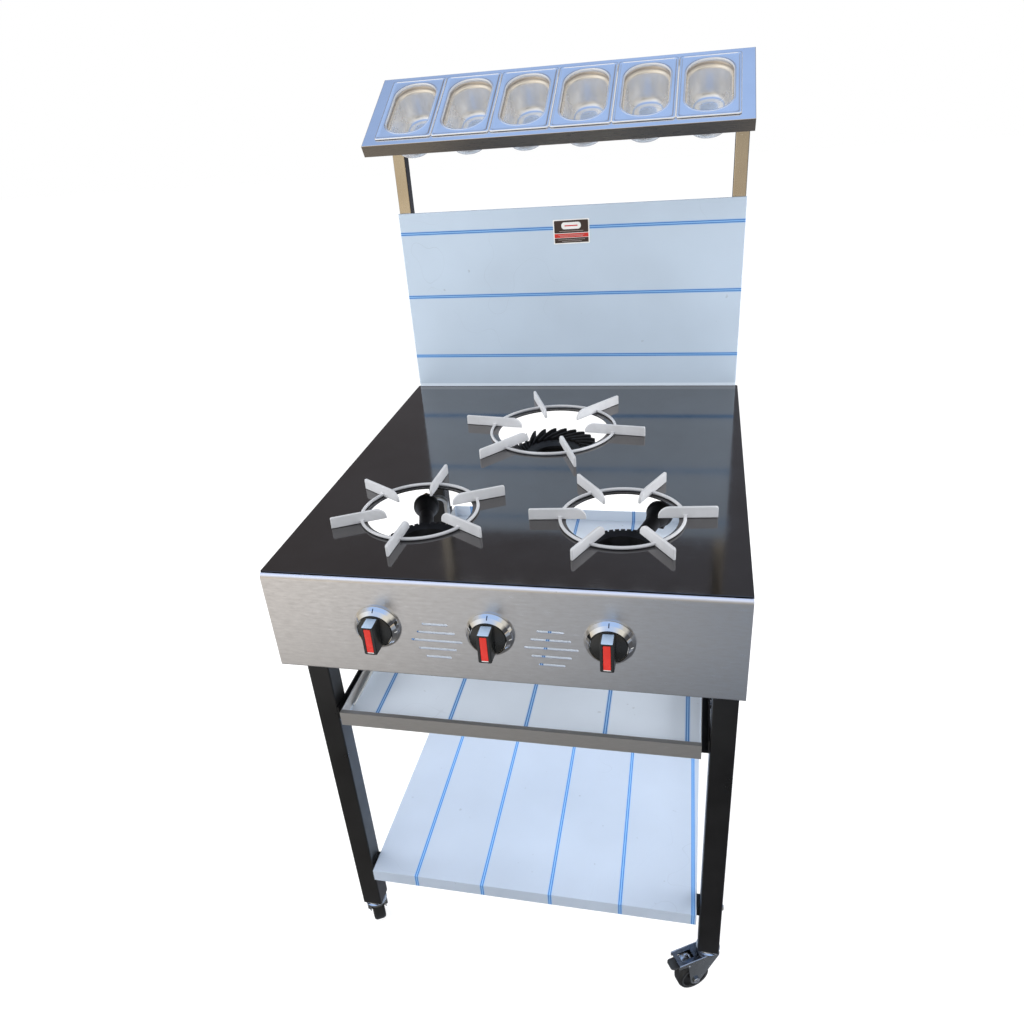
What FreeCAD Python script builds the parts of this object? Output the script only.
"""Free-standing gas wok range: three open burners, a backsplash and a tilted rack of six pans.

Millimetres. While a piece is drawn, x = 0 is the middle of the range, y = 0 is the front edge of
the cooktop with +y towards the wall, and z = 0 is the floor. On saving, everything moves along y
by the same amount, so that the origin lies on the floor under the middle of the outline.
"""
import FreeCAD, Part

import math
import os

from FreeCAD import Placement, Rotation, Vector

# ---------------------------------------------------------------- cooktop and its frame
COOKTOP_WIDTH = 700.0
COOKTOP_DEPTH = 800.0
COOKTOP_HEIGHT = 920.0          # floor to the top surface
COOKTOP_SHEET = 2.0
COOKTOP_EDGE = 5.5              # depth of the folded edge
COOKTOP_CORNER_R = 3.0

LEG_TUBE = 38.0
LEG_WALL = 2.0
LEG_CORNER_R = 3.0
LEG_SIDE_INSET = 3.7            # from the cooktop's side to the leg's outer face
LEG_FRONT_INSET = 58.6          # from the cooktop's front to the front leg's face
LEG_BACK_INSET = 1.7
LEG_BOTTOM = 97.0

RAIL_FRONT_GAP = 26.0           # cooktop's front edge to the ends of the side rails

# ---------------------------------------------------------------- front panel
FASCIA_HEIGHT = 165.0
FASCIA_PROUD = 4.0
FASCIA_SHEET = 1.2
FASCIA_RETURN = 28.0            # depth of its folded edges
FASCIA_TOP_R = 4.0
FASCIA_EDGE_R = 2.5
BRACKET_PLATE = 3.0
BRACKET_HEIGHT = 30.0
BRACKET_FLANGE = 20.0
BRACKET_DROP = 90.0             # cooktop surface to the bracket's top

KNOB_PITCH = 170.2
KNOB_SHIFT = -6.3               # the row of knobs sits a little left of the middle
KNOB_DROP = 83.0                # cooktop surface to the knob axis
SPINDLE_HOLE_R = 7.0

SLOT_HEIGHT = 4.0
SLOT_PITCH = 14.5
SLOT_TOP_DROP = 74.0
SLOT_GROUP_PITCH = 169.0
SLOT_SHIFT = -3.5               # the two groups of slots sit a little left of the middle
SLOT_LENGTHS = (39.0, 58.0, 78.0, 58.0, 39.0)

# ---------------------------------------------------------------- knobs, bezels and taps
BEZEL_R = 36.1
BEZEL_MOUTH_R = 26.7
BEZEL_HEIGHT = 14.0
BEZEL_WALL = 3.7                # height of its upright edge
BEZEL_FLOOR = 3.0
KNOB_HUB_GAP = 0.8              # between the hub and the bezel's mouth
KNOB_HUB_BACK = 8.0             # front of the panel to the back of the hub
KNOB_HUB_THICK = 6.0
KNOB_REACH = 38.8               # front of the panel to the front of the handle
KNOB_BAR_LENGTH = 48.0
KNOB_BAR_WIDTH = 20.4
KNOB_BAR_TAPER = 0.5
KNOB_PUSH = 3.0

SPINDLE_R = 4.0
RUNNING_GAP = 0.06              # radial play of a shaft in its hole
TAP_PLUG_R = 6.0
TAP_PLUG_LENGTH = 18.0
TAP_NOSE_R = 9.0
TAP_NOSE_BACK = 2.0             # cooktop's front edge to the front of the tap's nose
TAP_BODY_R = 13.0
TAP_BODY_FRONT = 8.0
TAP_BODY_BACK = 46.0
TAP_NUT_ACROSS = 17.0
TAP_NUT_LENGTH = 12.0
TAP_STEM_R = 7.5
TAP_SADDLE_WALL = 4.5
TAP_SADDLE_LENGTH = 30.0

MANIFOLD_R = 10.65
MANIFOLD_BORE_R = 8.0
MANIFOLD_BACK = 40.0            # cooktop's front edge to the pipe's axis
MANIFOLD_DROP = 62.0
MANIFOLD_LEFT = -330.0
MANIFOLD_RIGHT = 325.0
INLET_HEX_ACROSS = 27.0
INLET_HEX_LENGTH = 8.0
INLET_PIN_R = 10.48             # male pipe end, half inch
INLET_PIN_LENGTH = 18.0
CAP_LENGTH = 14.0
CLIP_WIDTH = 14.0
CLIP_WALL = 3.0
CLIP_INSET = 8.5                # leg's inner face to the middle of the clip

# ---------------------------------------------------------------- burners
FRONT_BURNER_X = 163.0
FRONT_BURNER_Y = 200.0
REAR_BURNER_Y = 547.5
FRONT_HOLE_R = 86.0
REAR_HOLE_R = 106.0
BURNER_SEAT_DROP = 100.0        # cooktop surface to the top of the burner bars

BOWL_R = 70.0
BOWL_INNER_R = 46.0
BOWL_BASE_R = 52.0
BOWL_TOP_DROP = 58.0
BOWL_FLOOR = 8.0
RIM_TEETH = 44
RIM_NOTCH_WIDTH = 3.0
RIM_NOTCH_DEPTH = 4.5
RIM_NOTCH_LENGTH = 5.0

VANE_COUNT = 24
VANE_OUTER_R = 82.0
VANE_INNER_R = 52.0
VANE_THICK = 5.0
VANE_HEIGHT = 17.0
VANE_SWEEP = 38.0               # degrees of twist from the inner to the outer end
REAR_TOP_DROP = 30.0
REAR_PLATE = 9.0
REAR_HUB_R = 17.0

MIXER_DROP = 80.0               # cooktop surface to the mixing tube's axis
MIXER_LENGTH = 178.0            # burner axis to the mouth of the bell
MIXER_TUBE_R = 16.0
MIXER_THROAT_R = 13.0
MIXER_WALL = 4.0
BELL_R = 23.5
FRONT_MIXER_TURN = 16.5         # degrees outwards from straight back
SHUTTER_R = 19.5
SHUTTER_THICK = 1.6
SHUTTER_GAP = 6.0               # bell mouth to the shutter
INJECTOR_R = 5.0
INJECTOR_NUT_ACROSS = 15.0
INJECTOR_NUT_LENGTH = 16.0
LUG_REACH = 21.0                # bell mouth to the lug that holds the injector
LUG_THICK = 6.0
LUG_WIDTH = 16.0
LUG_BITE = 2.0                  # how far the lug's arm reaches into the bell's wall

FEED_R = 5.0
FEED_BEND_R = 16.0
FEED_DROP = 140.0
FEED_SIDE = 36.0

BAR_WIDTH = 30.0
BAR_THICK = 4.0

# ---------------------------------------------------------------- pot supports
FRONT_RING_R = 95.0             # middle of the round bar
REAR_RING_R = 119.0
RING_BAR_R = 4.0
RING_LIFT = 0.6                 # the ring clears the cooktop by more than the fins do
FIN_HEIGHT = 20.5
FIN_THICK = 6.0
FIN_COUNT = 6
FRONT_FIN_OUTER = 145.0
FRONT_FIN_INNER = 51.0
REAR_FIN_OUTER = 180.0
REAR_FIN_INNER = 62.0
FIN_NOSE = 19.0                 # length of the rounded inner end
LEFT_GRATE_TURN = 27.5
RIGHT_GRATE_TURN = 5.5
REAR_GRATE_TURN = -8.5
REST_GAP = 0.3                  # between pieces that lift apart

# ---------------------------------------------------------------- backsplash, posts and rack
SPLASH_WIDTH = 691.0
SPLASH_HEIGHT = 370.5
SPLASH_THICK = 5.0
SPLASH_SHEET = 1.2
POST_TUBE = 25.0
POST_WALL = 1.5
POST_DROP = 70.0                # cooktop surface to the foot of the post

RACK_WIDTH = 690.0
RACK_DEPTH = 203.0              # along the slope
RACK_TILT = 30.0
RACK_LIP = 22.5
RACK_SHEET = 1.2
RACK_FRONT_OVERHANG = 160.0     # rack's front edge to the cooktop's back edge
RACK_FRONT_HEIGHT = 512.2       # cooktop surface to the rack's front edge

PAN_COUNT = 6
PAN_PITCH = 107.6
PAN_WIDTH = 107.0               # one-ninth size container
PAN_LENGTH = 176.0
PAN_FRONT = 13.4                # rack's front edge to the first rim, along the slope
PAN_DEPTH = 62.0
PAN_SHEET = 1.0
PAN_RIM_HEIGHT = 3.0
PAN_RIM_R = 5.0
PAN_WELL_WIDTH = 84.0
PAN_WELL_LENGTH = 150.0
PAN_WELL_R = 38.0
PAN_STEP_DEPTH = 10.0
PAN_STEP = 3.0
PAN_BASE_WIDTH = 56.0
PAN_BASE_LENGTH = 116.0
PAN_BASE_R = 25.0
RACK_LEDGE = 6.0                # how far the rack reaches under the pan rims

# ---------------------------------------------------------------- drip tray and shelf
TRAY_WIDTH = 591.2
TRAY_FRONT = 41.2
TRAY_LENGTH = 749.0
TRAY_DROP = 303.0
TRAY_LIP = 26.7
TRAY_SHEET = 1.0
TRAY_HEM = 8.0
TRAY_TRAVEL = 560.0
RUNNER_LEG = 22.0
RUNNER_THICK = 2.5

SHELF_WIDTH = 605.4
SHELF_FRONT = 45.3
SHELF_BACK_INSET = 8.0
SHELF_DROP = 704.4
SHELF_LIP = 26.1
SHELF_SHEET = 1.2
TAB_HEIGHT = 20.0
TAB_LENGTH = 30.0

# ---------------------------------------------------------------- castors
WHEEL_R = 31.5
WHEEL_WIDTH = 24.0
WHEEL_TREAD = 5.0
WHEEL_HUB_R = 8.0
CASTOR_TRAIL = 33.0
AXLE_R = 4.0
KINGPIN_R = 6.0
KINGPIN_HEAD_R = 9.0
KINGPIN_HEAD = 3.0
RACE_R = 21.5
RACE_HEIGHT = 9.0
PLUG_HEIGHT = 25.0
PLUG_GAP = 0.1
FORK_WIDTH = 34.0
FORK_SHEET = 2.5
FORK_HOOD = 68.0                # swivel axis to the far edge of the hood
FORK_BACK = 20.0
FORK_TOP_GAP = 0.4
CHEEK_LIP = 9.0
CHEEK_EYE_R = 11.0
PEDAL_THICK = 3.0
PEDAL_WIDTH = 22.0
PEDAL_PIN_R = 2.5
PEDAL_PIN_BACK = 20.0           # far edge of the hood to the pedal's pin
PEDAL_PIN_DROP = 6.2
PEDAL_REACH = 13.0
PEDAL_STROKE = 14.0             # degrees, from free to braked
SHOE_GAP = 0.7                  # left over the tread when braked
CASTOR_TURNS = {"front_left": 120.0, "front_right": 212.0, "rear_left": 255.0, "rear_right": 300.0}
BRAKED = ("front_left", "front_right")

# ---------------------------------------------------------------- sizes that follow
HALF_WIDTH = COOKTOP_WIDTH / 2
UNDERSIDE = COOKTOP_HEIGHT - COOKTOP_SHEET
LEG_OUTER_X = HALF_WIDTH - LEG_SIDE_INSET
LEG_INNER_X = LEG_OUTER_X - LEG_TUBE
LEG_X = LEG_OUTER_X - LEG_TUBE / 2
FRONT_LEG_Y = LEG_FRONT_INSET + LEG_TUBE / 2
REAR_FACE_Y = COOKTOP_DEPTH - LEG_BACK_INSET
REAR_LEG_Y = REAR_FACE_Y - LEG_TUBE / 2
LEG_TOP = UNDERSIDE - LEG_TUBE
PANEL_Y = -FASCIA_PROUD
KNOB_Z = COOKTOP_HEIGHT - KNOB_DROP
KNOB_X = {"left": KNOB_SHIFT - KNOB_PITCH, "centre": KNOB_SHIFT, "right": KNOB_SHIFT + KNOB_PITCH}
BURNER_PLACE = {
    "left": (-FRONT_BURNER_X, FRONT_BURNER_Y),
    "right": (FRONT_BURNER_X, FRONT_BURNER_Y),
    "rear": (0.0, REAR_BURNER_Y),
}
MIXER_ANGLE = {"left": 90.0 + FRONT_MIXER_TURN, "right": 90.0 - FRONT_MIXER_TURN, "rear": 270.0}
TILT = math.radians(RACK_TILT)
RACK_FRONT_Y = COOKTOP_DEPTH - RACK_FRONT_OVERHANG
RACK_FRONT_Z = COOKTOP_HEIGHT + RACK_FRONT_HEIGHT
FRONT_REACH_Y = PANEL_Y - KNOB_REACH
BACK_REACH_Y = RACK_FRONT_Y + RACK_DEPTH * math.cos(TILT) + RACK_LIP * math.sin(TILT)
SHIFT_Y = -(FRONT_REACH_Y + BACK_REACH_Y) / 2
LEG_PLACE = {
    "front_left": (-LEG_X, FRONT_LEG_Y),
    "front_right": (LEG_X, FRONT_LEG_Y),
    "rear_left": (-LEG_X, REAR_LEG_Y),
    "rear_right": (LEG_X, REAR_LEG_Y),
}


# ---------------------------------------------------------------- shape helpers
def save(node, *solids):
    """Writes one node. Several solids in it stay separate."""
    shape = solids[0] if len(solids) == 1 else Part.makeCompound(list(solids))
    shape = shape.copy()
    shape.translate(Vector(0, SHIFT_Y, 0))
    shape.exportStep("parts/" + node + ".step")


def box(x0, x1, y0, y1, z0, z1):
    return Part.makeBox(x1 - x0, y1 - y0, z1 - z0, Vector(x0, y0, z0))


def mirror_x(shape):
    return shape.mirror(Vector(0, 0, 0), Vector(1, 0, 0))


def fuse(first, *others):
    return first.fuse(list(others)).removeSplitter()


def fillet_where(solid, radius, wanted):
    """Rounds the edges whose bounding box passes the test."""
    edges = [e for e in solid.Edges if wanted(e.BoundBox)]
    return solid.makeFillet(radius, edges)


def along_z(bb):
    return bb.XLength < 0.01 and bb.YLength < 0.01


def along_x(bb):
    return bb.YLength < 0.01 and bb.ZLength < 0.01


def rod(start, end, radius):
    axis = end - start
    return Part.makeCylinder(radius, axis.Length, start, axis)


def hex_prism(start, axis, across, length):
    """A six-sided bar that starts at a point and runs along an axis."""
    radius = across / math.sqrt(3)
    corners = [Vector(radius * math.cos(math.radians(60 * i)), radius * math.sin(math.radians(60 * i)), 0)
               for i in range(7)]
    prism = Part.Face(Part.makePolygon(corners)).extrude(Vector(0, 0, length))
    prism.Placement = Placement(start, Rotation(Vector(0, 0, 1), axis))
    return prism


def square_tube(x0, x1, y0, y1, z0, z1, axis, wall, corner):
    """A square tube with rounded corners along x, y or z, open at both ends."""
    spans = {"x": lambda b: b.YLength < 0.01 and b.ZLength < 0.01,
             "y": lambda b: b.XLength < 0.01 and b.ZLength < 0.01,
             "z": along_z}
    outer = fillet_where(box(x0, x1, y0, y1, z0, z1), corner, spans[axis])
    dx = 0 if axis == "x" else wall
    dy = 0 if axis == "y" else wall
    dz = 0 if axis == "z" else wall
    inner = box(x0 + dx, x1 - dx, y0 + dy, y1 - dy, z0 + dz, z1 - dz)
    return outer.cut(fillet_where(inner, max(corner - wall, 0.5), spans[axis]))


def rounded_rectangle(width, length, radius, z, centre=(0.0, 0.0)):
    """A closed wire of four lines and four arcs in a level plane."""
    cx, cy = centre
    hx, hy = width / 2, length / 2
    r = min(radius, hx - 0.5, hy - 0.5)
    k = r * (1 - math.sqrt(0.5))
    edges = []
    corners = [(1, 1), (-1, 1), (-1, -1), (1, -1)]
    ends = []
    for sx, sy in corners:
        a = Vector(cx + sx * hx, cy + sy * (hy - r), z)
        m = Vector(cx + sx * (hx - k), cy + sy * (hy - k), z)
        b = Vector(cx + sx * (hx - r), cy + sy * hy, z)
        if sx * sy < 0:
            a, b = b, a
        ends.append((a, m, b))
    for i, (a, m, b) in enumerate(ends):
        edges.append(Part.Arc(a, m, b).toShape())
        edges.append(Part.makeLine(b, ends[(i + 1) % 4][0]))
    return Part.Wire(edges)


def loft(wires):
    return Part.makeLoft(wires, True, True)


def revolve(points, axis_point=Vector(0, 0, 0), axis=Vector(0, 0, 1)):
    """Turns a closed outline of (radius, height) points about the local z axis, then places it."""
    outline = Part.makePolygon([Vector(r, 0, h) for r, h in points + points[:1]])
    solid = Part.Face(outline).revolve(Vector(0, 0, 0), Vector(0, 0, 1), 360)
    solid.Placement = Placement(axis_point, Rotation(Vector(0, 0, 1), axis))
    return solid


def bent_bar(points, radius, bend):
    """A round bar of straight runs and the tangent bends between them."""
    pieces = []
    last = points[0]
    for i in range(1, len(points) - 1):
        corner = points[i]
        back = (points[i - 1] - corner).normalize()
        ahead = (points[i + 1] - corner).normalize()
        half = back.getAngle(ahead) / 2
        start = corner + back * (bend / math.tan(half))
        centre = corner + (back + ahead).normalize() * (bend / math.sin(half))
        pieces.append(rod(last, start, radius))
        section = Part.Face(Part.Wire([Part.makeCircle(radius, start, back)]))
        pieces.append(section.revolve(centre, ahead.cross(back), 180 - math.degrees(2 * half)))
        last = corner + ahead * (bend / math.tan(half))
    pieces.append(rod(last, points[-1], radius))
    return fuse(pieces[0], *pieces[1:])


def turned(shape, x, y, degrees):
    """Turns a shape about the local z axis and moves it to a place on the plan."""
    shape = shape.copy()
    shape.rotate(Vector(0, 0, 0), Vector(0, 0, 1), degrees)
    shape.translate(Vector(x, y, 0))
    return shape


# ---------------------------------------------------------------- frame
def leg(x, y):
    half = LEG_TUBE / 2
    return square_tube(x - half, x + half, y - half, y + half, LEG_BOTTOM, LEG_TOP, "z",
                       LEG_WALL, LEG_CORNER_R)


def side_rail():
    """Right-hand rail on top of the two legs of one side."""
    return square_tube(LEG_INNER_X, LEG_OUTER_X, RAIL_FRONT_GAP, REAR_FACE_Y, LEG_TOP, UNDERSIDE,
                       "y", LEG_WALL, LEG_CORNER_R)


def cross_rail(y0):
    return square_tube(-LEG_INNER_X, LEG_INNER_X, y0, y0 + LEG_TUBE, LEG_TOP, UNDERSIDE, "x",
                       LEG_WALL, LEG_CORNER_R)


def burner_bar(y):
    """Flat bar under a burner, with its ends turned up against the side rails."""
    seat = COOKTOP_HEIGHT - BURNER_SEAT_DROP
    top = UNDERSIDE - LEG_TUBE / 4
    outer = box(-LEG_INNER_X, LEG_INNER_X, y - BAR_WIDTH / 2, y + BAR_WIDTH / 2, seat - BAR_THICK, top)
    inner = box(-LEG_INNER_X + BAR_THICK, LEG_INNER_X - BAR_THICK, y - BAR_WIDTH, y + BAR_WIDTH,
                seat, top + 1)
    return outer.cut(inner)


def build_frame():
    for name, (x, y) in LEG_PLACE.items():
        save("leg_" + name, leg(x, y))
    save("top_rails", side_rail(), mirror_x(side_rail()), cross_rail(LEG_FRONT_INSET),
         cross_rail(REAR_FACE_Y - LEG_TUBE))
    save("burner_bars", burner_bar(FRONT_BURNER_Y), burner_bar(REAR_BURNER_Y))


# ---------------------------------------------------------------- cooktop
def cooktop():
    """Polished sheet with folded edges and a hole over each burner."""
    z1 = COOKTOP_HEIGHT
    z0 = z1 - COOKTOP_EDGE
    outer = box(-HALF_WIDTH, HALF_WIDTH, 0, COOKTOP_DEPTH, z0, z1)
    outer = fillet_where(outer, COOKTOP_CORNER_R, along_z)
    outer = fillet_where(outer, COOKTOP_SHEET / 2, lambda b: abs(b.ZMin - z1) < 0.01 and b.ZLength < 0.01)
    t = COOKTOP_SHEET
    inner = box(-HALF_WIDTH + t, HALF_WIDTH - t, t, COOKTOP_DEPTH - t / 2, z0 - 1, z1 - t)
    sheet = outer.cut(inner)
    for name, (x, y) in BURNER_PLACE.items():
        radius = REAR_HOLE_R if name == "rear" else FRONT_HOLE_R
        sheet = sheet.cut(Part.makeCylinder(radius, COOKTOP_EDGE * 2, Vector(x, y, z0 - 1)))
    return sheet


# ---------------------------------------------------------------- front panel
def vent_slot(x, z, length):
    """Slot with round ends through the front panel."""
    r = SLOT_HEIGHT / 2
    y0 = PANEL_Y - 1
    depth = FASCIA_SHEET + 2
    bar = box(x - length / 2 + r, x + length / 2 - r, y0, y0 + depth, z - r, z + r)
    ends = [Part.makeCylinder(r, depth, Vector(x + s * (length / 2 - r), y0, z), Vector(0, 1, 0))
            for s in (-1, 1)]
    return fuse(bar, *ends)


def fascia():
    """Front panel folded back on all four edges, with knob holes and two groups of slots."""
    z1 = COOKTOP_HEIGHT - COOKTOP_EDGE
    z0 = z1 - FASCIA_HEIGHT
    y0 = PANEL_Y
    y1 = PANEL_Y + FASCIA_RETURN
    t = FASCIA_SHEET

    def shell(x, ya, za, zb, top_r, edge_r):
        block = box(-x, x, ya, y1, za, zb)
        block = fillet_where(block, top_r, lambda b: along_x(b) and abs(b.YMin - ya) < 0.01 and b.ZMin > zb - 0.1)
        return fillet_where(block, edge_r, lambda b: along_x(b) and abs(b.YMin - ya) < 0.01 and b.ZMax < za + 0.1)

    outer = shell(HALF_WIDTH, y0, z0, z1, FASCIA_TOP_R, FASCIA_EDGE_R)
    inner = shell(HALF_WIDTH - t, y0 + t, z0 + t, z1 - t, FASCIA_TOP_R - t, FASCIA_EDGE_R - t)
    panel = outer.cut(inner)
    cuts = [Part.makeCylinder(SPINDLE_HOLE_R, 4 * t, Vector(x, y0 - t, KNOB_Z), Vector(0, 1, 0))
            for x in KNOB_X.values()]
    for side in (-1, 1):
        middle = SLOT_SHIFT + side * SLOT_GROUP_PITCH / 2
        for row, length in enumerate(SLOT_LENGTHS):
            cuts.append(vent_slot(middle, COOKTOP_HEIGHT - SLOT_TOP_DROP - row * SLOT_PITCH, length))
    return panel.cut(cuts)


def fascia_bracket():
    """Z-shaped bracket from the back of the front panel to the right front leg."""
    x1 = LEG_OUTER_X - LEG_CORNER_R
    z1 = COOKTOP_HEIGHT - BRACKET_DROP
    z0 = z1 - BRACKET_HEIGHT
    y0 = PANEL_Y + FASCIA_SHEET
    y1 = LEG_FRONT_INSET
    t = BRACKET_PLATE
    web = box(x1 - t, x1, y0, y1, z0, z1)
    front = box(x1 - BRACKET_FLANGE, x1, y0, y0 + t, z0, z1)
    back = box(x1 - BRACKET_FLANGE, x1, y1 - t, y1, z0, z1)
    return fuse(web, front, back)


# ---------------------------------------------------------------- knobs and taps
def bezel(x):
    """Polished cone round a knob, standing on the front panel."""
    h = BEZEL_HEIGHT
    middle_r = (BEZEL_R + BEZEL_MOUTH_R) / 2 + 1.2
    profile = [(SPINDLE_HOLE_R, 0), (BEZEL_R - 0.8, 0), (BEZEL_R, BEZEL_WALL - 0.8), (BEZEL_R - 0.4, BEZEL_WALL),
               (middle_r, (BEZEL_WALL + h) / 2), (BEZEL_MOUTH_R + 1.0, h), (BEZEL_MOUTH_R, h - 0.6),
               (BEZEL_MOUTH_R, BEZEL_FLOOR), (SPINDLE_HOLE_R, BEZEL_FLOOR)]
    return revolve(profile, Vector(x, PANEL_Y, KNOB_Z), Vector(0, -1, 0))


def knob(x):
    """Round hub with a tapered bar handle, off with the bar upright."""
    front = PANEL_Y - KNOB_HUB_BACK - KNOB_HUB_THICK
    back = PANEL_Y - KNOB_HUB_BACK
    hub_r = BEZEL_MOUTH_R - KNOB_HUB_GAP
    hub = revolve([(0, 0), (hub_r, 0), (hub_r, KNOB_HUB_THICK - 1), (hub_r - 1, KNOB_HUB_THICK),
                   (0, KNOB_HUB_THICK)],
                  Vector(x, back, KNOB_Z), Vector(0, -1, 0))
    tip = PANEL_Y - KNOB_REACH

    def outline(y, shrink):
        w = KNOB_BAR_WIDTH / 2 - shrink
        h = KNOB_BAR_LENGTH / 2 - shrink
        corners = [Vector(x - w, y, KNOB_Z - h), Vector(x + w, y, KNOB_Z - h),
                   Vector(x + w, y, KNOB_Z + h), Vector(x - w, y, KNOB_Z + h), Vector(x - w, y, KNOB_Z - h)]
        return Part.makePolygon(corners)

    bar = loft([outline(front + 1, 0), outline(tip, KNOB_BAR_TAPER)])
    bar = fillet_where(bar, 1.5, lambda b: b.YLength > KNOB_REACH / 3)
    bore = rod(Vector(x, back + 1, KNOB_Z), Vector(x, spindle_front() - RUNNING_GAP, KNOB_Z), SPINDLE_R + RUNNING_GAP)
    return fuse(hub, bar).cut(bore)


def spindle_front():
    return PANEL_Y - KNOB_REACH + 6.0


def plug_front():
    return TAP_BODY_FRONT + TAP_BODY_R / 2


def spindle(x):
    """Shaft that the knob sits on; it slides into the tap's plug and turns it."""
    return rod(Vector(x, spindle_front(), KNOB_Z), Vector(x, plug_front() + TAP_PLUG_LENGTH / 2, KNOB_Z), SPINDLE_R)


def tap_plug(x):
    """Plug that turns in the tap, with a socket for the spindle and a port across it."""
    y0 = plug_front()
    body = rod(Vector(x, y0, KNOB_Z), Vector(x, y0 + TAP_PLUG_LENGTH, KNOB_Z), TAP_PLUG_R)
    socket = rod(Vector(x, y0 - 1, KNOB_Z),
                 Vector(x, y0 + TAP_PLUG_LENGTH / 2 + KNOB_PUSH + 1, KNOB_Z), SPINDLE_R + RUNNING_GAP)
    port_y = y0 + TAP_PLUG_LENGTH - 2.5
    port = rod(Vector(x, port_y, KNOB_Z - TAP_PLUG_R - 1), Vector(x, port_y, KNOB_Z), 1.5)
    return body.cut([socket, port])


def tap(x):
    """Gas tap: nose, round body, saddle round the manifold and a nut for the feed pipe."""
    manifold_z = COOKTOP_HEIGHT - MANIFOLD_DROP
    nose = rod(Vector(x, TAP_NOSE_BACK, KNOB_Z), Vector(x, TAP_BODY_FRONT, KNOB_Z), TAP_NOSE_R)
    body = rod(Vector(x, TAP_BODY_FRONT, KNOB_Z), Vector(x, TAP_BODY_BACK, KNOB_Z), TAP_BODY_R)
    nut = hex_prism(Vector(x, TAP_BODY_BACK, KNOB_Z), Vector(0, 1, 0), TAP_NUT_ACROSS, TAP_NUT_LENGTH)
    stem = rod(Vector(x, MANIFOLD_BACK, manifold_z), Vector(x, MANIFOLD_BACK, KNOB_Z), TAP_STEM_R)
    half = TAP_SADDLE_LENGTH / 2
    saddle = rod(Vector(x - half, MANIFOLD_BACK, manifold_z), Vector(x + half, MANIFOLD_BACK, manifold_z),
                 MANIFOLD_R + TAP_SADDLE_WALL)
    solid = fuse(nose, body, nut, stem, saddle)
    pipe = rod(Vector(x - half - 1, MANIFOLD_BACK, manifold_z), Vector(x + half + 1, MANIFOLD_BACK, manifold_z),
               MANIFOLD_R + RUNNING_GAP / 2)
    y0 = plug_front()
    cavity = rod(Vector(x, y0 - REST_GAP, KNOB_Z), Vector(x, y0 + TAP_PLUG_LENGTH + REST_GAP, KNOB_Z),
                 TAP_PLUG_R + RUNNING_GAP)
    nose_bore = rod(Vector(x, TAP_NOSE_BACK - 1, KNOB_Z), Vector(x, y0, KNOB_Z), SPINDLE_R + RUNNING_GAP)
    outlet = rod(Vector(x, TAP_BODY_BACK + TAP_NUT_LENGTH / 2, KNOB_Z),
                 Vector(x, TAP_BODY_BACK + TAP_NUT_LENGTH + 1, KNOB_Z), FEED_R)
    return solid.cut([pipe, cavity, nose_bore, outlet])


def manifold():
    z = COOKTOP_HEIGHT - MANIFOLD_DROP
    a = Vector(MANIFOLD_LEFT, MANIFOLD_BACK, z)
    b = Vector(MANIFOLD_RIGHT, MANIFOLD_BACK, z)
    return rod(a, b, MANIFOLD_R).cut(rod(a, b, MANIFOLD_BORE_R))


def gas_inlet():
    """Hexagon and male pipe end at the right end of the manifold."""
    z = COOKTOP_HEIGHT - MANIFOLD_DROP
    start = Vector(MANIFOLD_RIGHT, MANIFOLD_BACK, z)
    body = hex_prism(start, Vector(1, 0, 0), INLET_HEX_ACROSS, INLET_HEX_LENGTH)
    pin_start = start + Vector(INLET_HEX_LENGTH, 0, 0)
    end = pin_start + Vector(INLET_PIN_LENGTH, 0, 0)
    return fuse(body, rod(pin_start, end, INLET_PIN_R)).cut(rod(start, end, MANIFOLD_BORE_R))


def manifold_cap():
    z = COOKTOP_HEIGHT - MANIFOLD_DROP
    return hex_prism(Vector(MANIFOLD_LEFT, MANIFOLD_BACK, z), Vector(-1, 0, 0), INLET_HEX_ACROSS, CAP_LENGTH)


def manifold_clip():
    """Ring round the manifold with a foot on the right front leg."""
    z = COOKTOP_HEIGHT - MANIFOLD_DROP
    x = LEG_INNER_X + CLIP_INSET
    x0 = x - CLIP_WIDTH / 2
    x1 = x + CLIP_WIDTH / 2
    ring = rod(Vector(x0, MANIFOLD_BACK, z), Vector(x1, MANIFOLD_BACK, z), MANIFOLD_R + CLIP_WALL)
    arm = box(x0, x1, MANIFOLD_BACK, LEG_FRONT_INSET, z - CLIP_WALL, z + CLIP_WALL)
    foot = box(x0, x1, LEG_FRONT_INSET - CLIP_WALL, LEG_FRONT_INSET, z - CLIP_WIDTH, z + CLIP_WIDTH)
    bore = rod(Vector(x0 - 1, MANIFOLD_BACK, z), Vector(x1 + 1, MANIFOLD_BACK, z), MANIFOLD_R + RUNNING_GAP / 2)
    return fuse(ring, arm, foot).cut(bore)


def build_front():
    save("fascia", fascia())
    save("fascia_brackets", fascia_bracket(), mirror_x(fascia_bracket()))
    save("manifold", manifold())
    save("gas_inlet", gas_inlet())
    save("manifold_cap", manifold_cap())
    save("manifold_clips", manifold_clip(), mirror_x(manifold_clip()))
    save("knob_bezels", *[bezel(x) for x in KNOB_X.values()])
    save("gas_taps", *[tap(x) for x in KNOB_X.values()])
    for name, x in KNOB_X.items():
        save("tap_plug_" + name, tap_plug(x))
        save("spindle_" + name, spindle(x))
        save("knob_" + name, knob(x))


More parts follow.
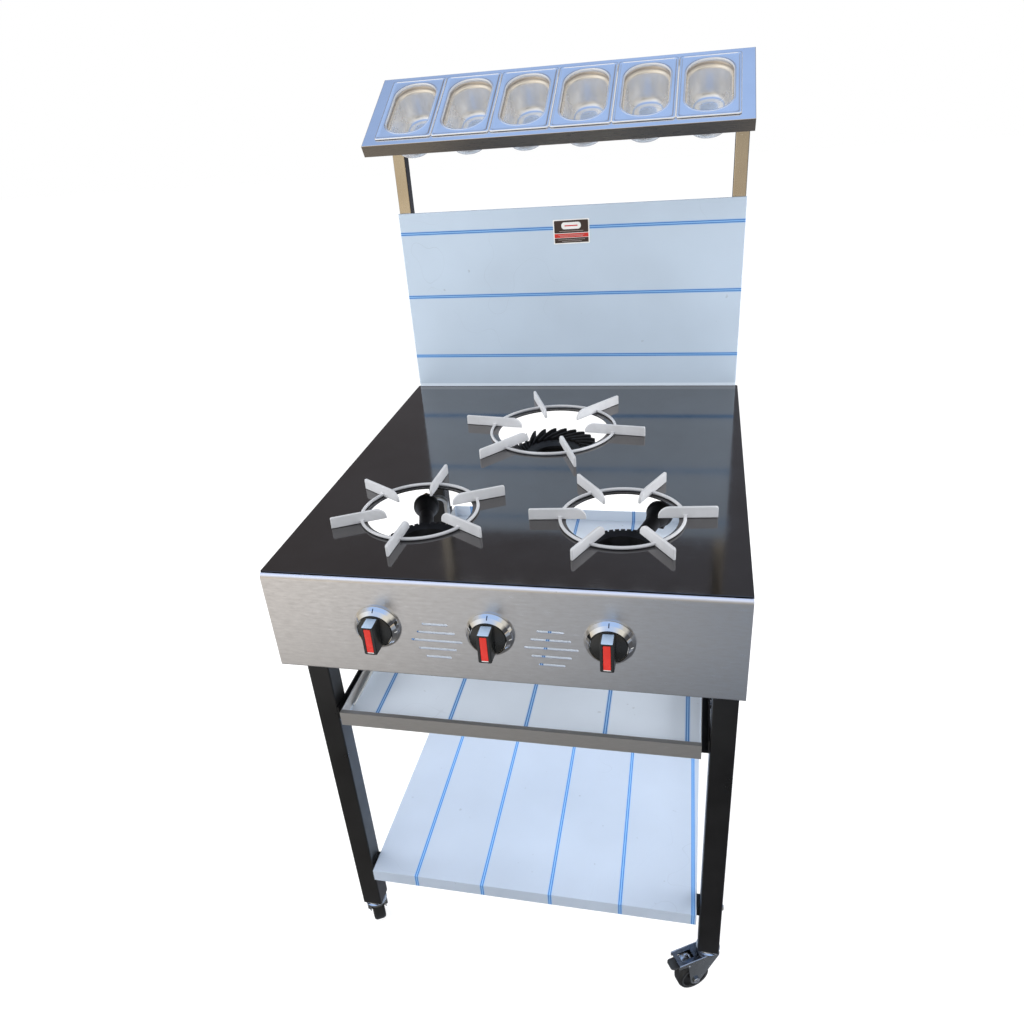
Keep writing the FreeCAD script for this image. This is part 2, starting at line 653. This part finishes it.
# ---------------------------------------------------------------- burners
def mixing_tube(start_r):
    """Tube along +x from the bowl to a flared bell, drawn round the burner's own axis."""
    z = COOKTOP_HEIGHT - MIXER_DROP
    mouth = MIXER_LENGTH
    w = MIXER_WALL
    outer = [(start_r, MIXER_TUBE_R), (mouth * 0.6, MIXER_THROAT_R), (mouth * 0.78, MIXER_THROAT_R),
             (mouth - 12, BELL_R - 3.5), (mouth - 6, BELL_R), (mouth, BELL_R)]
    inner = [(mouth, BELL_R - w), (mouth - 12, BELL_R - w - 3), (mouth * 0.78, MIXER_THROAT_R - w),
             (mouth * 0.6, MIXER_THROAT_R - w), (start_r, MIXER_TUBE_R - w)]
    return revolve([(r, along) for along, r in outer + inner], Vector(0, 0, z), Vector(1, 0, 0))


def injector_lug():
    """Arm under the bell that turns up behind it and holds the injector."""
    z = COOKTOP_HEIGHT - MIXER_DROP
    high = z - BELL_R + LUG_BITE
    low = high - LUG_THICK
    half = LUG_WIDTH / 2
    start = MIXER_LENGTH - LUG_THICK
    end = MIXER_LENGTH + LUG_REACH
    arm = box(start, end, -half, half, low, high)
    plate = box(end - LUG_THICK, end, -half, half, low, z + INJECTOR_R + LUG_THICK)
    hole = rod(Vector(start, 0, z), Vector(end + 1, 0, z), INJECTOR_R)
    return fuse(arm, plate).cut(hole)


def tooth_notches(radius, top):
    """Radial notches round the rim of a burner."""
    notch = box(radius - RIM_NOTCH_LENGTH, radius + 1, -RIM_NOTCH_WIDTH / 2, RIM_NOTCH_WIDTH / 2,
                top - RIM_NOTCH_DEPTH, top + 1)
    notches = []
    for i in range(RIM_TEETH):
        one = notch.copy()
        one.rotate(Vector(0, 0, 0), Vector(0, 0, 1), i * 360.0 / RIM_TEETH)
        notches.append(one)
    return notches


def front_burner():
    """Cast bowl with a toothed rim, a hollow middle and a mixing tube along +x."""
    top = COOKTOP_HEIGHT - BOWL_TOP_DROP
    base = COOKTOP_HEIGHT - BURNER_SEAT_DROP
    bowl = revolve([(0, base), (BOWL_BASE_R, base), (BOWL_R, base + 14), (BOWL_R, top),
                    (BOWL_INNER_R, top), (BOWL_INNER_R - 10, base + BOWL_FLOOR), (0, base + BOWL_FLOOR)])
    boss = revolve([(0, base + BOWL_FLOOR - 1), (REAR_HUB_R, base + BOWL_FLOOR - 1),
                    (REAR_HUB_R - 5, base + BOWL_FLOOR + 12), (0, base + BOWL_FLOOR + 12)])
    bowl = bowl.cut(tooth_notches(BOWL_R, top))
    return fuse(bowl, boss, mixing_tube(BOWL_BASE_R + 2), injector_lug())


def rear_burner_base():
    """Cast base of the rear burner: a bowl that carries the vane head, and its mixing tube."""
    head_seat = COOKTOP_HEIGHT - REAR_TOP_DROP - VANE_HEIGHT - REAR_PLATE
    base = COOKTOP_HEIGHT - BURNER_SEAT_DROP
    bowl = revolve([(0, base), (BOWL_BASE_R, base), (BOWL_R, base + 14), (VANE_OUTER_R - 6, head_seat),
                    (VANE_INNER_R, head_seat), (BOWL_INNER_R - 8, base + BOWL_FLOOR), (0, base + BOWL_FLOOR)])
    return fuse(bowl, mixing_tube(BOWL_BASE_R + 2), injector_lug())


def vane():
    """One curved blade: a spiral strip whose ends follow the rims of the head."""
    z0 = COOKTOP_HEIGHT - REAR_TOP_DROP - VANE_HEIGHT
    z1 = COOKTOP_HEIGHT - REAR_TOP_DROP
    sweep = math.radians(VANE_SWEEP)
    middle_r = (VANE_INNER_R + VANE_OUTER_R) / 2

    def arc(side):
        offset = side * VANE_THICK / 2
        points = []
        for r, share in ((VANE_INNER_R + 1, 0.0), (middle_r, 0.62), (VANE_OUTER_R, 1.0)):
            turn = sweep * share + offset / r
            points.append(Vector(r * math.cos(turn), r * math.sin(turn), z0 - 1))
        return points

    a, b = arc(-1), arc(1)
    outline = Part.Wire([Part.Arc(a[0], a[1], a[2]).toShape(), Part.makeLine(a[2], b[2]),
                         Part.Arc(b[2], b[1], b[0]).toShape(), Part.makeLine(b[0], a[0])])
    blade = Part.Face(outline).extrude(Vector(0, 0, VANE_HEIGHT + 1))
    slope = revolve([(VANE_INNER_R - 5, z0 + 6), (VANE_OUTER_R - 7, z1), (VANE_OUTER_R + 5, z1),
                     (VANE_OUTER_R + 5, z1 + 5), (VANE_INNER_R - 5, z1 + 5)])
    return blade.cut(slope)


def rear_burner_head():
    """Vane head: a ring plate with curved blades that give the flame its swirl."""
    z0 = COOKTOP_HEIGHT - REAR_TOP_DROP - VANE_HEIGHT
    plate = revolve([(VANE_INNER_R - 14, z0 - REAR_PLATE), (VANE_OUTER_R - 4, z0 - REAR_PLATE),
                     (VANE_OUTER_R, z0 - REAR_PLATE + 4), (VANE_OUTER_R, z0), (VANE_INNER_R, z0 + 3),
                     (VANE_INNER_R - 10, z0), (VANE_INNER_R - 14, z0 - 3)])
    blades = []
    for i in range(VANE_COUNT):
        one = vane()
        one.rotate(Vector(0, 0, 0), Vector(0, 0, 1), i * 360.0 / VANE_COUNT)
        blades.append(one)
    return fuse(plate, *blades)


def injector():
    """Brass nozzle through the lug, with the elbow nut that the feed pipe enters."""
    z = COOKTOP_HEIGHT - MIXER_DROP
    lug_end = MIXER_LENGTH + LUG_REACH
    nozzle = rod(Vector(MIXER_LENGTH, 0, z), Vector(lug_end, 0, z), INJECTOR_R)
    tip = Part.makeCone(INJECTOR_R * 0.4, INJECTOR_R, 8, Vector(MIXER_LENGTH - 8, 0, z), Vector(1, 0, 0))
    nut = hex_prism(Vector(lug_end, 0, z), Vector(1, 0, 0), INJECTOR_NUT_ACROSS, INJECTOR_NUT_LENGTH)
    return fuse(nozzle, tip, nut)


def air_shutter():
    """Disc on the injector with two kidney openings, which sets the air that the bell draws."""
    z = COOKTOP_HEIGHT - MIXER_DROP
    x0 = MIXER_LENGTH + SHUTTER_GAP
    disc = rod(Vector(x0, 0, z), Vector(x0 + SHUTTER_THICK, 0, z), SHUTTER_R)
    hole = rod(Vector(x0 - 1, 0, z), Vector(x0 + SHUTTER_THICK + 1, 0, z), INJECTOR_R)
    ports = [rod(Vector(x0 - 1, s * SHUTTER_R * 0.6, z), Vector(x0 + SHUTTER_THICK + 1, s * SHUTTER_R * 0.6, z),
                 SHUTTER_R * 0.25) for s in (-1, 1)]
    return disc.cut([hole] + ports)


def feed_pipe(knob_name, burner_name, side):
    """Pipe from a tap, down and under the burner, up beside the injector and into its nut."""
    x = KNOB_X[knob_name]
    bx, by = BURNER_PLACE[burner_name]
    turn = math.radians(MIXER_ANGLE[burner_name])
    along = Vector(math.cos(turn), math.sin(turn), 0)
    across = Vector(-along.y, along.x, 0) * side
    low = COOKTOP_HEIGHT - FEED_DROP
    level = COOKTOP_HEIGHT - MIXER_DROP
    nut_middle = MIXER_LENGTH + LUG_REACH + INJECTOR_NUT_LENGTH / 2
    nut = Vector(bx, by, level) + along * nut_middle
    start = Vector(x, TAP_BODY_BACK + TAP_NUT_LENGTH / 2, KNOB_Z)
    ahead = Vector(x, TAP_BODY_BACK + TAP_NUT_LENGTH + FEED_BEND_R + 6, KNOB_Z)
    down = Vector(ahead.x, ahead.y, low)
    riser = nut + across * FEED_SIDE
    foot = Vector(riser.x, riser.y, low)
    face = nut + across * (INJECTOR_NUT_ACROSS / 2)
    return bent_bar([start, ahead, down, foot, riser, face], FEED_R, FEED_BEND_R)


def build_burners():
    for name in ("left", "right"):
        x, y = BURNER_PLACE[name]
        save("burner_" + name, turned(front_burner(), x, y, MIXER_ANGLE[name]))
    x, y = BURNER_PLACE["rear"]
    save("burner_rear_base", turned(rear_burner_base(), x, y, MIXER_ANGLE["rear"]))
    save("burner_rear_head", turned(rear_burner_head(), x, y, 0))
    places = [(BURNER_PLACE[n][0], BURNER_PLACE[n][1], MIXER_ANGLE[n]) for n in BURNER_PLACE]
    save("injectors", *[turned(injector(), *place) for place in places])
    save("air_shutters", *[turned(air_shutter(), *place) for place in places])
    save("feed_pipes", feed_pipe("left", "left", -1), feed_pipe("right", "right", -1),
         feed_pipe("centre", "rear", 1))


# ---------------------------------------------------------------- pot supports
def fin(outer_r, inner_r):
    """Upright plate on the ring, with a long round nose at its inner end."""
    z0 = COOKTOP_HEIGHT + REST_GAP
    z1 = z0 + FIN_HEIGHT
    half = FIN_THICK / 2
    nose_r = FIN_HEIGHT - 2.5
    k = math.sqrt(0.5)
    tip_r = 3.0
    points = [
        Part.makeLine(Vector(inner_r, 0, z0), Vector(outer_r, 0, z0)),
        Part.makeLine(Vector(outer_r, 0, z0), Vector(outer_r, 0, z1 - tip_r)),
        Part.Arc(Vector(outer_r, 0, z1 - tip_r), Vector(outer_r - tip_r * (1 - k), 0, z1 - tip_r * (1 - k)),
                 Vector(outer_r - tip_r, 0, z1)).toShape(),
        Part.makeLine(Vector(outer_r - tip_r, 0, z1), Vector(inner_r + FIN_NOSE, 0, z1)),
        Part.Arc(Vector(inner_r + FIN_NOSE, 0, z1),
                 Vector(inner_r + FIN_NOSE * (1 - k), 0, z1 - nose_r * (1 - k)),
                 Vector(inner_r, 0, z1 - nose_r)).toShape(),
        Part.makeLine(Vector(inner_r, 0, z1 - nose_r), Vector(inner_r, 0, z0)),
    ]
    plate = Part.Face(Part.Wire(points)).extrude(Vector(0, FIN_THICK, 0))
    plate.translate(Vector(0, -half, 0))
    return plate


def grate(ring_r, outer_r, inner_r):
    """Welded pot support: a ring of round bar and six upright fins."""
    z = COOKTOP_HEIGHT + REST_GAP + RING_LIFT + RING_BAR_R
    ring = Part.makeTorus(ring_r, RING_BAR_R, Vector(0, 0, z), Vector(0, 0, 1))
    fins = []
    for i in range(FIN_COUNT):
        one = fin(outer_r, inner_r)
        one.rotate(Vector(0, 0, 0), Vector(0, 0, 1), i * 360.0 / FIN_COUNT)
        fins.append(one)
    return fuse(ring, *fins)


def build_grates():
    front = (FRONT_RING_R, FRONT_FIN_OUTER, FRONT_FIN_INNER)
    rear = (REAR_RING_R, REAR_FIN_OUTER, REAR_FIN_INNER)
    for name, sizes, turn in (("left", front, LEFT_GRATE_TURN), ("right", front, RIGHT_GRATE_TURN),
                              ("rear", rear, REAR_GRATE_TURN)):
        x, y = BURNER_PLACE[name]
        save("grate_" + name, turned(grate(*sizes), x, y, turn))


# ---------------------------------------------------------------- backsplash, posts and rack
def backsplash():
    """Upright panel with shallow folded edges, open at the back."""
    x = SPLASH_WIDTH / 2
    y0 = COOKTOP_DEPTH - SPLASH_THICK
    z0 = COOKTOP_HEIGHT
    z1 = z0 + SPLASH_HEIGHT
    t = SPLASH_SHEET
    outer = box(-x, x, y0, COOKTOP_DEPTH, z0, z1)
    outer = fillet_where(outer, t, lambda b: abs(b.YMin - y0) < 0.01 and b.YLength < 0.01)
    return outer.cut(box(-x + t, x - t, y0 + t, COOKTOP_DEPTH + 1, z0 + t, z1 - t))


def on_rack(shape):
    """Takes a shape drawn flat, with its rim plane at z = 0, to the tilted top of the rack."""
    shape = shape.copy()
    shape.Placement = Placement(Vector(0, RACK_FRONT_Y, RACK_FRONT_Z),
                                Rotation(Vector(1, 0, 0), RACK_TILT)).multiply(shape.Placement)
    return shape


def pan_rack():
    """Folded frame with lips on all four sides and one long opening for the pans."""
    x = RACK_WIDTH / 2
    t = RACK_SHEET
    outer = box(-x, x, 0, RACK_DEPTH, -RACK_LIP, 0)
    outer = fillet_where(outer, t, lambda b: abs(b.ZMin) < 0.01 and b.ZLength < 0.01)
    inner = box(-x + t, x - t, t, RACK_DEPTH - t, -RACK_LIP - 1, -t)
    span = PAN_PITCH * PAN_COUNT / 2 - RACK_LEDGE
    opening = box(-span, span, PAN_FRONT + RACK_LEDGE, PAN_FRONT + PAN_LENGTH - RACK_LEDGE, -RACK_LIP, 1)
    return on_rack(outer.cut([inner, opening]))


def post():
    """Right-hand square tube behind the backsplash, cut to fit under the rack."""
    x1 = RACK_WIDTH / 2 - RACK_SHEET
    x0 = x1 - POST_TUBE
    y0 = COOKTOP_DEPTH
    z0 = COOKTOP_HEIGHT - POST_DROP
    bare = square_tube(x0, x1, y0, y0 + POST_TUBE, z0, RACK_FRONT_Z + RACK_DEPTH, "z", POST_WALL, 2.0)
    far = 2 * RACK_DEPTH
    above = on_rack(box(-far, far, -far, far, -RACK_SHEET, far))
    behind = on_rack(box(-far, far, RACK_DEPTH - RACK_SHEET, far, -RACK_LIP * 2, far))
    return bare.cut([above, behind])


def pan_well(shrink, top):
    """Solid inside the outer or inner wall of a pan, in its own frame."""
    s = 2 * shrink
    sections = [
        (PAN_WELL_WIDTH, PAN_WELL_LENGTH, PAN_WELL_R, top),
        (PAN_WELL_WIDTH - 2, PAN_WELL_LENGTH - 2, PAN_WELL_R - 1, -PAN_STEP_DEPTH),
        (PAN_WELL_WIDTH - 2 - 2 * PAN_STEP, PAN_WELL_LENGTH - 2 - 2 * PAN_STEP, PAN_WELL_R - 1 - PAN_STEP,
         -PAN_STEP_DEPTH - PAN_STEP),
        (PAN_BASE_WIDTH + 16, PAN_BASE_LENGTH + 16, PAN_BASE_R + 8, -PAN_DEPTH + 15 + shrink),
        (PAN_BASE_WIDTH + 12, PAN_BASE_LENGTH + 12, PAN_BASE_R + 6, -PAN_DEPTH + 9 + shrink),
        (PAN_BASE_WIDTH + 4, PAN_BASE_LENGTH + 4, PAN_BASE_R + 2, -PAN_DEPTH + 3 + shrink),
        (PAN_BASE_WIDTH - 8, PAN_BASE_LENGTH - 8, PAN_BASE_R - 4, -PAN_DEPTH + shrink),
    ]
    return loft([rounded_rectangle(w - s, d - s, r - shrink, z) for w, d, r, z in sections])


def pan():
    """One container, drawn flat with its middle at the origin and its rim foot at z = 0."""
    top = PAN_RIM_HEIGHT
    t = PAN_SHEET
    rim = loft([rounded_rectangle(PAN_WIDTH, PAN_LENGTH, PAN_RIM_R, 0),
                rounded_rectangle(PAN_WIDTH, PAN_LENGTH, PAN_RIM_R, top - 1),
                rounded_rectangle(PAN_WIDTH - 2, PAN_LENGTH - 2, PAN_RIM_R - 1, top)])
    under = loft([rounded_rectangle(PAN_WIDTH - 2 * t, PAN_LENGTH - 2 * t, PAN_RIM_R - t, -1),
                  rounded_rectangle(PAN_WIDTH - 2 * t, PAN_LENGTH - 2 * t, PAN_RIM_R - t, top - t)])
    wall = pan_well(-t, top)
    return rim.cut(under).fuse(wall).removeSplitter().cut(pan_well(0, top))


def build_back():
    save("backsplash", backsplash())
    save("pan_rack", pan_rack())
    save("rack_posts", post(), mirror_x(post()))
    flat = pan()
    for i in range(PAN_COUNT):
        one = flat.copy()
        x = (i - (PAN_COUNT - 1) / 2) * PAN_PITCH
        one.translate(Vector(x, PAN_FRONT + PAN_LENGTH / 2, REST_GAP))
        save("pan_%d" % (i + 1), on_rack(one))


# ---------------------------------------------------------------- drip tray and shelf
def drip_tray():
    """Shallow folded tray under the burners, with a hemmed rim."""
    x = TRAY_WIDTH / 2
    y0, y1 = TRAY_FRONT, TRAY_FRONT + TRAY_LENGTH
    z1 = COOKTOP_HEIGHT - TRAY_DROP
    z0 = z1 - TRAY_LIP
    t = TRAY_SHEET
    tray = box(-x, x, y0, y1, z0, z1).cut(box(-x + t, x - t, y0 + t, y1 - t, z0 + t, z1 + 1))
    hem = box(-x + t, x - t, y0 + t, y0 + TRAY_HEM, z1 - t, z1)
    return fuse(tray, hem)


def tray_runner():
    """Right-hand angle that the tray slides on, welded between the legs."""
    z1 = COOKTOP_HEIGHT - TRAY_DROP - TRAY_LIP - REST_GAP
    x1 = LEG_INNER_X
    x0 = x1 - RUNNER_LEG
    y0, y1 = LEG_FRONT_INSET, REAR_FACE_Y
    flange = box(x0, x1, y0, y1, z1 - RUNNER_THICK, z1)
    web = box(x1 - RUNNER_THICK, x1, y0, y1, z1 - RUNNER_THICK, z1 + RUNNER_LEG)
    return fuse(flange, web)


def lower_shelf():
    """Storage shelf folded down on all four edges."""
    x = SHELF_WIDTH / 2
    y1 = COOKTOP_DEPTH - SHELF_BACK_INSET
    z1 = COOKTOP_HEIGHT - SHELF_DROP
    z0 = z1 - SHELF_LIP
    t = SHELF_SHEET
    outer = box(-x, x, SHELF_FRONT, y1, z0, z1)
    outer = fillet_where(outer, t, lambda b: abs(b.ZMin - z1) < 0.01 and b.ZLength < 0.01)
    return outer.cut(box(-x + t, x - t, SHELF_FRONT + t, y1 - t, z0 - 1, z1 - t))


def shelf_tabs():
    """Spacer between the shelf's lip and the inner face of each leg."""
    z1 = COOKTOP_HEIGHT - SHELF_DROP - (SHELF_LIP - TAB_HEIGHT) / 2
    tabs = []
    for x, y in LEG_PLACE.values():
        side = 1 if x > 0 else -1
        inner, outer = sorted((side * SHELF_WIDTH / 2, side * LEG_INNER_X))
        tabs.append(box(inner, outer, y - TAB_LENGTH / 2, y + TAB_LENGTH / 2, z1 - TAB_HEIGHT, z1))
    return tabs


def build_storage():
    save("drip_tray", drip_tray())
    save("tray_runners", tray_runner(), mirror_x(tray_runner()))
    save("lower_shelf", lower_shelf())
    save("shelf_tabs", *shelf_tabs())


# ---------------------------------------------------------------- castors
def castor_mount():
    """Plug in the leg, bearing race under it and the kingpin, round the swivel axis."""
    half = LEG_TUBE / 2 - LEG_WALL - PLUG_GAP
    plug = fillet_where(box(-half, half, -half, half, LEG_BOTTOM, LEG_BOTTOM + PLUG_HEIGHT), 1.0, along_z)
    z1 = LEG_BOTTOM
    z0 = z1 - RACE_HEIGHT
    race = revolve([(0, z0), (RACE_R - 3, z0), (RACE_R, z0 + 2.5), (RACE_R, z0 + 4), (RACE_R - 4, z0 + 5.5),
                    (RACE_R - 2.5, z0 + 7), (RACE_R - 2.5, z1), (0, z1)])
    head_z = fork_top() - FORK_SHEET - RUNNING_GAP
    pin = Part.makeCylinder(KINGPIN_R, z0 - head_z + 1, Vector(0, 0, head_z))
    head = Part.makeCylinder(KINGPIN_HEAD_R, KINGPIN_HEAD, Vector(0, 0, head_z - KINGPIN_HEAD))
    return fuse(plug, race, pin, head)


def fork_top():
    return LEG_BOTTOM - RACE_HEIGHT - FORK_TOP_GAP


def fork_cheek():
    """Side plate of the fork: a narrow lip under the hood and a leg down to the axle."""
    z1 = fork_top()
    lip = z1 - CHEEK_LIP
    eye = WHEEL_R
    r = CHEEK_EYE_R
    corner = Vector(CASTOR_TRAIL + r, 0, eye)
    low = Vector(CASTOR_TRAIL, 0, eye - r)
    far = Vector(CASTOR_TRAIL - r * 0.8, 0, eye - r * 0.6)
    start = Vector(-FORK_BACK + 6, 0, z1)
    lines = [
        Part.makeLine(start, Vector(FORK_HOOD, 0, z1)),
        Part.makeLine(Vector(FORK_HOOD, 0, z1), Vector(FORK_HOOD, 0, lip)),
        Part.makeLine(Vector(FORK_HOOD, 0, lip), Vector(CASTOR_TRAIL + r + 6, 0, lip)),
        Part.makeLine(Vector(CASTOR_TRAIL + r + 6, 0, lip), corner),
        Part.Arc(corner, low, far).toShape(),
        Part.makeLine(far, Vector(-FORK_BACK + 6, 0, lip)),
        Part.makeLine(Vector(-FORK_BACK + 6, 0, lip), start),
    ]
    return Part.Face(Part.Wire(lines))


def castor_fork(braked):
    """Swivel fork: hood with a pierced top, two cheeks and the axle bolt."""
    z1 = fork_top()
    z0 = z1 - FORK_SHEET
    half = FORK_WIDTH / 2
    hood = fuse(box(0, FORK_HOOD, -half, half, z0, z1), Part.makeCylinder(FORK_BACK, FORK_SHEET, Vector(0, 0, z0)))
    bore = Part.makeCylinder(KINGPIN_R + RUNNING_GAP, FORK_SHEET + 2, Vector(0, 0, z0 - 1))
    window = box(FORK_HOOD * 0.5, FORK_HOOD - 8, -half + 9, half - 9, z0 - 1, z1 + 1)
    cuts = [bore, window] if braked else [bore]
    face = fork_cheek()
    cheeks = []
    for y0 in (-half, half - FORK_SHEET):
        plate = face.copy()
        plate.translate(Vector(0, y0, 0))
        cheeks.append(plate.extrude(Vector(0, FORK_SHEET, 0)))
    axle = rod(Vector(CASTOR_TRAIL, -half - 3, WHEEL_R), Vector(CASTOR_TRAIL, half + 3, WHEEL_R), AXLE_R)
    nuts = [hex_prism(Vector(CASTOR_TRAIL, s * half, WHEEL_R), Vector(0, s, 0), 13.0, 3.0) for s in (-1, 1)]
    parts = [axle] + cheeks + nuts
    if braked:
        pin = pedal_pin()
        parts.append(rod(Vector(pin.x, -half, pin.z), Vector(pin.x, half, pin.z), PEDAL_PIN_R))
    return fuse(hood.cut(cuts), *parts)


def castor_wheel():
    """Wheel with a rounded tread, dished sides and a hub on the axle."""
    w = WHEEL_WIDTH / 2
    r = WHEEL_R
    hub = FORK_WIDTH / 2 - FORK_SHEET - REST_GAP
    profile = [(AXLE_R + RUNNING_GAP, -hub), (WHEEL_HUB_R, -hub), (WHEEL_HUB_R + 2, -w + 5),
               (r - WHEEL_TREAD - 3, -w + 4), (r - WHEEL_TREAD, -w), (r - 2, -w + 1), (r, -w + 5),
               (r, w - 5), (r - 2, w - 1), (r - WHEEL_TREAD, w), (r - WHEEL_TREAD - 3, w - 4),
               (WHEEL_HUB_R + 2, w - 5), (WHEEL_HUB_R, hub), (AXLE_R + RUNNING_GAP, hub)]
    return revolve(profile, Vector(CASTOR_TRAIL, 0, WHEEL_R), Vector(0, 1, 0))


def pedal_pin():
    return Vector(FORK_HOOD - PEDAL_PIN_BACK, 0, fork_top() - FORK_SHEET - PEDAL_PIN_DROP)


def brake_pedal():
    """Foot pedal that pivots in the fork, with a shoe that its stroke swings over the tread."""
    pin = pedal_pin()
    half = PEDAL_WIDTH / 2
    t = PEDAL_THICK
    barrel = rod(Vector(pin.x, -half, pin.z), Vector(pin.x, half, pin.z), PEDAL_PIN_R + t)
    tongue = box(pin.x, FORK_HOOD + PEDAL_REACH, -half, half, pin.z - t, pin.z)
    tongue = fillet_where(tongue, 6.0, lambda b: along_z(b) and b.XMin > FORK_HOOD)
    to_axle = Vector(CASTOR_TRAIL - pin.x, 0, WHEEL_R - pin.z)
    reach = to_axle.Length - WHEEL_R - SHOE_GAP
    shoe = box(pin.x - t, pin.x + t, -half, half, pin.z - reach, pin.z)
    lean = math.degrees(math.atan2(to_axle.x, to_axle.z)) - 180 - PEDAL_STROKE
    shoe.rotate(pin, Vector(0, 1, 0), lean)
    bore = rod(Vector(pin.x, -half - 1, pin.z), Vector(pin.x, half + 1, pin.z), PEDAL_PIN_R + RUNNING_GAP)
    return fuse(barrel, tongue, shoe).cut(bore)


def build_castors():
    save("castor_mounts", *[turned(castor_mount(), x, y, 0) for x, y in LEG_PLACE.values()])
    for name, (x, y) in LEG_PLACE.items():
        turn = CASTOR_TURNS[name]
        save("castor_fork_" + name, turned(castor_fork(name in BRAKED), x, y, turn))
        save("castor_wheel_" + name, turned(castor_wheel(), x, y, turn))
        if name in BRAKED:
            save("brake_pedal_" + name, turned(brake_pedal(), x, y, turn))


os.makedirs("parts", exist_ok=True)
build_frame()
save("cooktop", cooktop())
build_front()
build_burners()
build_grates()
build_back()
build_storage()
build_castors()
